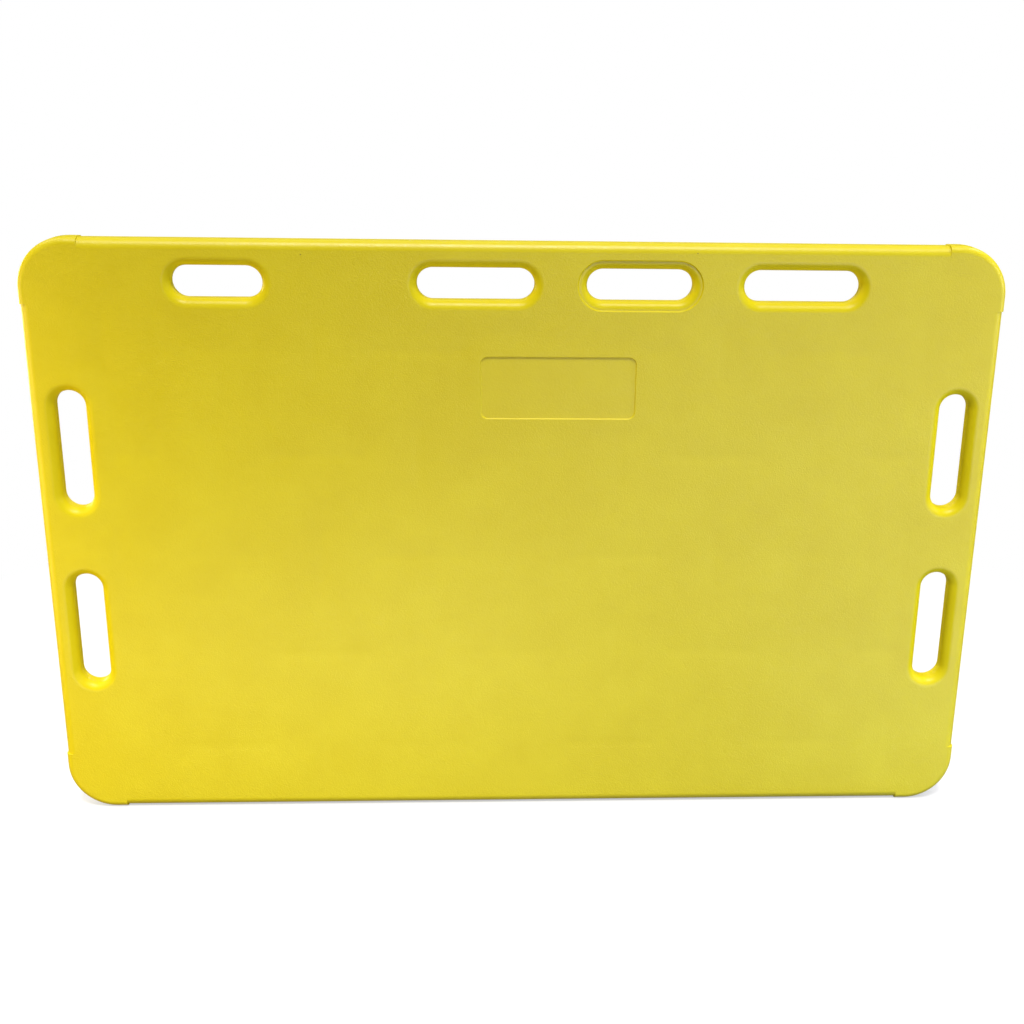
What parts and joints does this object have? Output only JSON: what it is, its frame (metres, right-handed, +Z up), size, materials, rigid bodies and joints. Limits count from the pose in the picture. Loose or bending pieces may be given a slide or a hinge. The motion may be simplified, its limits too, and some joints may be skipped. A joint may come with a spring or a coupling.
{
  "type": "pig sorting board",
  "caption": "Flat yellow plastic board for driving pigs: a hollow ribbed panel with rounded edges and corners, hand slots along the top and both sides, and a bare sunk label field.",
  "frame": {"origin": "under the middle of the board, on the surface that it stands on, midway through its thickness", "axes": "+X along the board to the right seen from the front, +Z up, and the front face looks along -Y"},
  "size_m": [1.2, 0.0316, 0.76],
  "materials": {
    "yellow_polyethylene": "satin, with the fine grain of a blow-moulded surface"
  },
  "bodies": {
    "root": {"front_wall": "yellow_polyethylene", "rear_wall": "yellow_polyethylene", "label_panel": "yellow_polyethylene", "top_edge": "yellow_polyethylene", "bottom_edge": "yellow_polyethylene", "left_edge": "yellow_polyethylene", "right_edge": "yellow_polyethylene", "corner_top_left": "yellow_polyethylene", "corner_top_right": "yellow_polyethylene", "corner_bottom_left": "yellow_polyethylene", "corner_bottom_right": "yellow_polyethylene", "hand_slot_top_1": "yellow_polyethylene", "hand_slot_top_2": "yellow_polyethylene", "hand_slot_top_3": "yellow_polyethylene", "hand_slot_top_4": "yellow_polyethylene", "hand_slot_left_upper": "yellow_polyethylene", "hand_slot_left_lower": "yellow_polyethylene", "hand_slot_right_upper": "yellow_polyethylene", "hand_slot_right_lower": "yellow_polyethylene", "rib_row_1": "yellow_polyethylene", "rib_row_2": "yellow_polyethylene", "rib_row_3": "yellow_polyethylene", "rib_row_4": "yellow_polyethylene", "rib_row_5": "yellow_polyethylene"}
  },
  "joints": []
}
